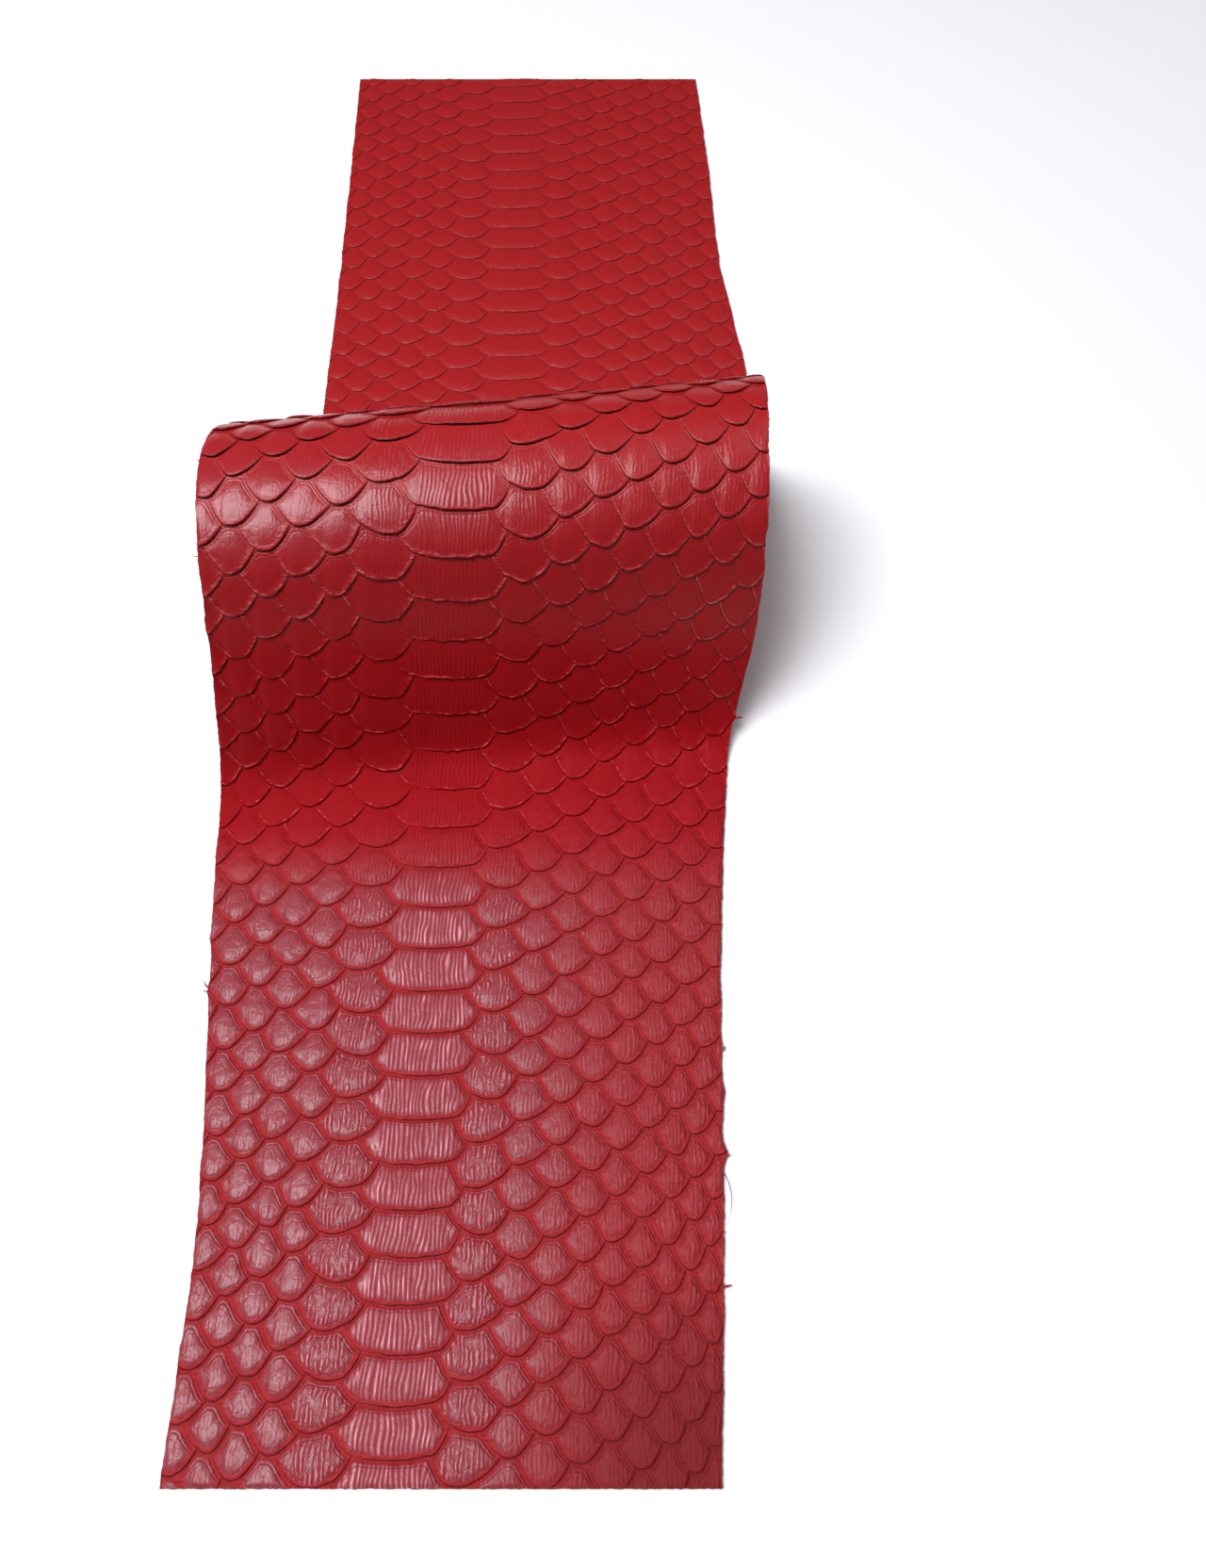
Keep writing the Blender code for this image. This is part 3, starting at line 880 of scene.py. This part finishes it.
def loose_fibres(material):
    """Fibres that stand out of the raw edges, some long and many short."""
    patches = Patches()
    for along, side, length, lean, curl, rise, radius in SHOWN_FIBRES:
        path = fibre_path(along, side, length, lean, curl, rise, 15)
        tube(patches, path, radius * (1.0 - 0.85 * np.linspace(0.0, 1.0, len(path)) ** 2))
    random = np.random.default_rng(5)
    for n in range(STRAY_FIBRES):
        along = random.uniform(0.004, STRIP_LENGTH - 0.004)
        side = -1 if n % 2 else 1
        length = 0.0004 + 0.0009 * random.random() ** 2
        path = fibre_path(along, side, length, random.uniform(-1.0, 1.0), random.uniform(-1.5, 1.5),
                          random.uniform(-0.0002, 0.0006), 6)
        tube(patches, path, 0.00008 * (1.0 - 0.8 * np.linspace(0.0, 1.0, len(path))))
    return plain_piece("loose_fibres", patches, material)


class Nodes:
    """Short ways to write a procedural material's nodes."""

    def __init__(self, name):
        self.material = bpy.data.materials.new(name)
        self.material.use_nodes = True
        self.tree = self.material.node_tree

    def put(self, node, inputs):
        """Sets or links a node's inputs, by name or number."""
        for name, value in inputs.items():
            if isinstance(value, bpy.types.NodeSocket):
                self.tree.links.new(value, node.inputs[name])
            else:
                node.inputs[name].default_value = value
        return node

    def node(self, kind, inputs):
        return self.put(self.tree.nodes.new("ShaderNode" + kind), inputs)

    def finished(self, inputs):
        """The material, with the inputs of its shader."""
        self.put(self.tree.nodes["Principled BSDF"], inputs)
        return self.material

    def attribute(self, name):
        node = self.node("Attribute", {})
        node.attribute_name = name
        return node.outputs["Vector"]

    def parts(self, vector):
        return self.node("SeparateXYZ", {0: vector}).outputs

    def math(self, operation, a, b=0.0):
        node = self.node("Math", {0: a, 1: b})
        node.operation = operation
        return node.outputs[0]

    def product(self, *values):
        total = values[0]
        for value in values[1:]:
            total = self.math("MULTIPLY", total, value)
        return total

    def total(self, *values):
        total = values[0]
        for value in values[1:]:
            total = self.math("ADD", total, value)
        return total

    def stretched(self, vector, scale):
        node = self.node("VectorMath", {0: vector, 1: scale})
        node.operation = "MULTIPLY"
        return node.outputs["Vector"]

    def noise(self, vector, scale, detail=3.0, roughness=0.55, distortion=0.0):
        inputs = {"Vector": vector, "Scale": scale, "Detail": detail, "Roughness": roughness,
                  "Distortion": distortion}
        return self.node("TexNoise", inputs).outputs["Fac"]

    def cells(self, vector, scale):
        node = self.node("TexVoronoi", {"Vector": vector, "Scale": scale})
        node.feature = "DISTANCE_TO_EDGE"
        return node.outputs["Distance"]

    def ranged(self, value, low, high, start=0.0, end=1.0):
        """Value taken from the range low to high to the range start to end, smoothly."""
        inputs = {"Value": value, "From Min": low, "From Max": high, "To Min": start, "To Max": end}
        node = self.node("MapRange", inputs)
        node.interpolation_type = "SMOOTHSTEP"
        return node.outputs["Result"]

    def mixed(self, share, first, second):
        node = self.node("Mix", {})
        node.data_type = "RGBA"
        return self.put(node, {0: share, 6: first, 7: second}).outputs[2]

    def bump(self, height, distance, strength):
        inputs = {"Strength": strength, "Distance": distance, "Height": height}
        return self.node("Bump", inputs).outputs["Normal"]


class Leather(Nodes):
    """Red dyed scales: deep red margins, and raised fields with a dusty sheen, dents and striations, with
    painted highlights on lips and ridge tops and painted shade in edge lines, valleys, over the hump's
    front and in a corner.
    """

    def __init__(self):
        super().__init__("dyed_leather")
        place = self.attribute("strip_place")
        self.across, self.along = self.parts(place)[0:2]
        self.field, self.from_hinge, self.from_edge = self.parts(self.attribute("scale_form"))
        self.striated, self.tone, self.ridge = self.parts(self.attribute("scale_look"))
        self.front, self.gloss, self.corner = self.parts(self.attribute("zone"))
        self.dents = self.noise(place, DENT_CELLS, 3.0, 0.5)
        self.creases = self.cells(self.stretched(place, CREASE_STRETCH), DENT_CELLS)
        self.grain = self.noise(place, GRAIN_CELLS, 2.0, 0.5)
        self.breaks = self.ranged(self.noise(place, BREAK_CELLS, 2.0, 0.5), 0.42, 0.58)
        self.crimps = self.noise(self.stretched(place, CRIMP_STRETCH), 1.0, 2.0, 0.6, 0.6)
        self.mottle = self.total(self.product(self.crimps, 0.6), self.product(self.dents, 0.4))
        self.mottle = self.ranged(self.mottle, 0.34, 0.62)
        self.inside = self.ranged(self.field, 0.1, 0.8)
        self.plate = self.ranged(self.striated, 0.0, 0.01, 1.0, 0.0)
        self.draw_striations(place)
        self.draw_hinge_lines()

    def over(self, span, start=0.0, end=1.0):
        """Value that goes from start to end over a stretch of the strip."""
        return self.ranged(self.along, span[0] / MM, span[1] / MM, start, end)

    def inverse(self, value):
        return self.math("SUBTRACT", 1.0, value)

    def band(self, value, rise, fall):
        """1 between the rise and the fall of a value, 0 outside them."""
        return self.product(self.ranged(value, *rise), self.ranged(value, *fall, 1.0, 0.0))

    def waves(self, turn):
        """Waves from 0 to 1 of an angle."""
        return self.total(self.product(self.math("SINE", turn), 0.5), 0.5)

    def draw_striations(self, place):
        """Lengthwise lines of the side scales, and the tops and valleys of all lines and ridges."""
        wander = self.noise(self.stretched(place, STRIATION_WANDER), 1.0, 2.0, 0.5)
        turn = self.total(self.product(self.across, 2.0 * math.pi * MM / STRIATION_SPACING),
                          self.product(wander, STRIATION_WANDER_ANGLE))
        swell = self.waves(turn)
        strength = self.noise(self.stretched(place, STRIATION_PATCHES), 1.0)
        strength = self.ranged(strength, 0.36, 0.62, 0.12, 1.0)
        self.lines = self.product(swell, strength)
        plate_valleys = self.product(self.ranged(self.ridge, 0.08, 0.5, 1.0, 0.0), self.plate)
        line_valleys = self.product(self.ranged(swell, 0.05, 0.45, 1.0, 0.0), self.striated, strength)
        self.valleys = self.math("MAXIMUM", plate_valleys, line_valleys)
        plate_crests = self.product(self.ranged(self.ridge, 0.5, 0.95), self.plate)
        line_crests = self.product(self.ranged(self.lines, 0.55, 0.95), self.striated, 0.5)
        self.crests = self.math("MAXIMUM", plate_crests, line_crests)

    def draw_hinge_lines(self):
        """Wrinkles along the hinge lines."""
        turn = self.total(self.product(self.from_hinge, 2.0 * math.pi * MM / HINGE_LINE_SPACING),
                          self.product(self.crimps, 3.0))
        near = self.band(self.from_hinge, (0.15, 0.4), (1.2, 2.4))
        self.hinge_lines = self.product(self.waves(turn), near)

    def margin_colour(self, lip_highlight):
        margin = self.mixed(self.mottle, MARGIN_COLOUR_DEEP, MARGIN_COLOUR)
        # Painted highlight in a band along each lip, just inside its free edge
        margin = self.mixed(lip_highlight, margin, LIP_HIGHLIGHT_COLOUR)
        # Painted shade in the wrinkles along the belly plates' hinge lines
        wrinkles = self.product(self.ranged(self.hinge_lines, 0.4, 0.9), self.plate, 0.6)
        return self.mixed(wrinkles, margin, VALLEY_SHADE_COLOUR)

    def field_colour(self):
        # Share of dust and painted sheen on the fields: most where they are polished, less towards the hump
        wear_and_sheen = self.product(self.gloss, self.over(WEAR_AND_SHEEN_FADES, 1.0, 0.35))
        field = self.mixed(self.tone, FIELD_COLOUR_DEEP, FIELD_COLOUR)
        dusty = self.product(self.ranged(self.dents, 0.3, 0.6, 0.4, 1.0), wear_and_sheen)
        field = self.mixed(dusty, field, FIELD_COLOUR_DUST_AND_SHEEN)
        # Painted highlight on the tops of ridges and lines, and faintly over whole belly plates, where the
        # fields are polished
        pale = self.math("MAXIMUM", self.product(self.crests, 0.85), self.product(self.plate, 0.16))
        field = self.mixed(self.product(pale, wear_and_sheen), field, FIELD_HIGHLIGHT_COLOUR)
        # Painted shade in the valleys between ridges and striations
        return self.mixed(self.product(self.valleys, 0.85), field, VALLEY_SHADE_COLOUR)

    def colour(self):
        # A band just inside each free edge, where a highlight along the lip is painted
        lip_highlight = self.product(self.band(self.from_edge, (0.15, 0.45), (0.6, 1.3)), self.crimps)
        inside = self.product(self.inside, self.ranged(self.gloss, 0.35, 0.85, 0.40, 1.0))
        colour = self.mixed(inside, self.margin_colour(lip_highlight), self.field_colour())
        # Painted shade over the hump's front
        colour = self.mixed(self.product(self.front, 0.9), colour, FRONT_SHADE_COLOUR)
        # Brighter broken painted highlights on the lips of the hump's front
        bright_lip_highlight = self.product(self.ranged(lip_highlight, 0.36, 0.60), self.front, self.breaks)
        colour = self.mixed(bright_lip_highlight, colour, BRIGHT_LIP_HIGHLIGHT_COLOUR)
        colour = self.mixed(self.over(FAR_REDDENS, 0.0, 0.8), colour, FAR_COLOUR)
        # Painted shadow over the corner at the tail end's right
        colour = self.mixed(self.product(self.corner, 0.9), colour, CORNER_SHADOW_COLOUR)
        # A dark line along every free edge: painted shadow under the lip, fainter on fused flanks and far
        # away
        line = self.ranged(self.from_edge, 0.04, 0.24, 0.95, 0.0)
        return self.mixed(self.product(line, self.over(FAR_EDGE_SHADOWS_FADE, 1.0, 0.5)), colour, EDGE_SHADOW_COLOUR)

    def roughness(self):
        polish = self.product(self.ranged(self.dents, 0.25, 0.55, 0.75, 1.0), self.inside, self.gloss)
        polish = self.product(polish, self.inverse(self.product(self.valleys, 0.8)))
        plain = self.over(MARGINS_SMOOTHEN, MARGIN_ROUGHNESS, STRETCHED_ROUGHNESS)
        polished = self.over(CREST_POLISHES, FIELD_ROUGHNESS, CREST_ROUGHNESS)
        return self.total(plain, self.product(polish, self.math("SUBTRACT", polished, plain)))

    def shine_tint(self):
        stretched = self.product(self.over(SHINE_REDDENS), self.over(SHINE_CLEARS, 1.0, 0.0))
        return self.mixed(stretched, SHINE_TINT, SHINE_TINT_FRONT)

    def fine_relief(self):
        """Height of dents, creases, grain, striations and wrinkles, calmer on the hump."""
        calmed = self.math("MAXIMUM", self.product(self.front, 0.8), self.over(CREST_CALMS, 0.0, 0.6))
        on_field = self.total(self.product(self.field, 0.8), 0.2)
        striations = self.product(self.lines, self.striated, on_field, 0.55)
        creases = self.product(self.ranged(self.creases, 0.0, 0.14), 0.12)
        dents = self.total(self.product(self.dents, 0.5), self.product(self.grain, 0.05))
        by_edge = self.product(self.crimps, self.ranged(self.from_edge, 0.0, 2.2, 1.0, 0.0))
        by_edge = self.product(by_edge, self.total(self.product(self.front, 1.2), 0.25))
        by_hinge = self.product(self.crimps, self.ranged(self.from_hinge, 0.2, 1.6, 1.0, 0.0), 0.3)
        by_hinge = self.total(by_hinge, self.product(self.hinge_lines, -0.5))
        mottled = self.product(self.mottle, self.inverse(self.inside), 0.35)
        surface = self.total(dents, creases, striations, by_hinge, mottled)
        return self.total(self.product(surface, self.inverse(calmed)), by_edge)


def dyed_leather():
    """The dyed face of the skin."""
    leather = Leather()
    return leather.finished({
        "Base Color": leather.colour(),
        "Roughness": leather.roughness(),
        "Specular IOR Level": SPECULAR_LEVEL,
        "Specular Tint": leather.shine_tint(),
        "Normal": leather.bump(leather.fine_relief(), FINE_RELIEF, FINE_RELIEF_STRENGTH),
    })


def suede():
    """The flesh side: paler dusty red, with a short nap."""
    nodes = Nodes("flesh_suede")
    place = nodes.attribute("strip_place")
    nap = nodes.noise(place, NAP_CELLS, 5.0, 0.7)
    patches = nodes.noise(place, SUEDE_PATCH_CELLS, 3.0, 0.55)
    colour = nodes.mixed(patches, SUEDE_COLOUR_DEEP, SUEDE_COLOUR)
    return nodes.finished({
        "Base Color": nodes.mixed(nodes.ranged(nap, 0.45, 0.75, 0.0, 0.6), colour, SUEDE_COLOUR_PALE),
        "Roughness": SUEDE_ROUGHNESS,
        "Specular IOR Level": SUEDE_SPECULAR,
        "Normal": nodes.bump(nap, NAP_RELIEF, NAP_STRENGTH),
    })


def raw_fibre():
    """Dark red fibres of the cut edge."""
    nodes = Nodes("raw_fibre")
    nap = nodes.noise(nodes.attribute("strip_place"), FIBRE_CELLS, 3.0, 0.6)
    colour = nodes.mixed(nap, FIBRE_COLOUR, SUEDE_COLOUR_DEEP)
    return nodes.finished({"Base Color": colour, "Roughness": FIBRE_ROUGHNESS})


def floor():
    """Plain pale floor just under the strip."""
    material = Nodes("pale_floor").finished({
        "Base Color": FLOOR_COLOUR,
        "Roughness": FLOOR_ROUGHNESS,
        "Specular IOR Level": FLOOR_SPECULAR,
    })
    mesh = bpy.data.meshes.new("floor")
    half = FLOOR_SIDE / 2.0
    corners = [(x * half, y * half, FLOOR_HEIGHT) for x, y in ((-1, -1), (1, -1), (1, 1), (-1, 1))]
    mesh.from_pydata(corners, [], [(0, 1, 2, 3)])
    mesh.materials.append(material)
    made = bpy.data.objects.new("floor", mesh)
    bpy.context.scene.collection.objects.link(made)


def softbox(name, place, aim, size, watts):
    """A soft light that shines from its place towards its aim."""
    data = bpy.data.lights.new(name, "AREA")
    data.shape = "RECTANGLE"
    data.size, data.size_y = size
    data.energy = watts
    data.color = SOFTBOX_COLOUR
    made = bpy.data.objects.new(name, data)
    made.location = place
    made.rotation_euler = (Vector(aim) - Vector(place)).to_track_quat("-Z", "Y").to_euler()
    bpy.context.scene.collection.objects.link(made)


def surroundings():
    """A dim even room."""
    world = bpy.data.worlds.new("studio")
    world.use_nodes = True
    background = world.node_tree.nodes["Background"]
    background.inputs["Color"].default_value = (1.0, 1.0, 1.0, 1.0)
    background.inputs["Strength"].default_value = SURROUND
    bpy.context.scene.world = world
    bpy.context.scene.view_settings.view_transform = "Standard"


def camera():
    """Wide view from above the near end, as in the photograph."""
    data = bpy.data.cameras.new("camera")
    data.lens = CAMERA_LENS
    data.sensor_width = CAMERA_SENSOR
    data.sensor_fit = "AUTO"
    data.clip_start = CAMERA_CLIP_START
    made = bpy.data.objects.new("camera", data)
    made.location = CAMERA_PLACE
    made.rotation_euler = (CAMERA_TILT, 0.0, 0.0)
    bpy.context.scene.collection.objects.link(made)
    bpy.context.scene.camera = made


def snake_skin():
    """The whole skin, in place of its solid."""
    leather = dyed_leather()
    flesh = suede()
    fibre = raw_fibre()
    halves = (("tail", ROWS[0], FACE_PARTING), ("head", FACE_PARTING, ROWS[-1]))
    pieces = [belly_plates("belly_plates_" + half, start, end, leather) for half, start, end in halves]
    for word, side in (("left_scales_", -1), ("right_scales_", 1)):
        pieces += [side_scales(word + half, side, start, end, leather) for half, start, end in halves]
    pieces += [cut_edges(fibre), loose_fibres(fibre)]
    sheet, width, area = flesh_side(flesh)
    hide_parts("snake_skin")
    for piece in pieces:
        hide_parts("snake_skin")


snake_skin()
floor()
softbox("overhead_softbox", SOFTBOX_PLACE, SOFTBOX_AIM, SOFTBOX_SIZE, SOFTBOX_WATTS)
softbox("fill_softbox", FILL_PLACE, FILL_AIM, FILL_SIZE, FILL_WATTS)
surroundings()
camera()
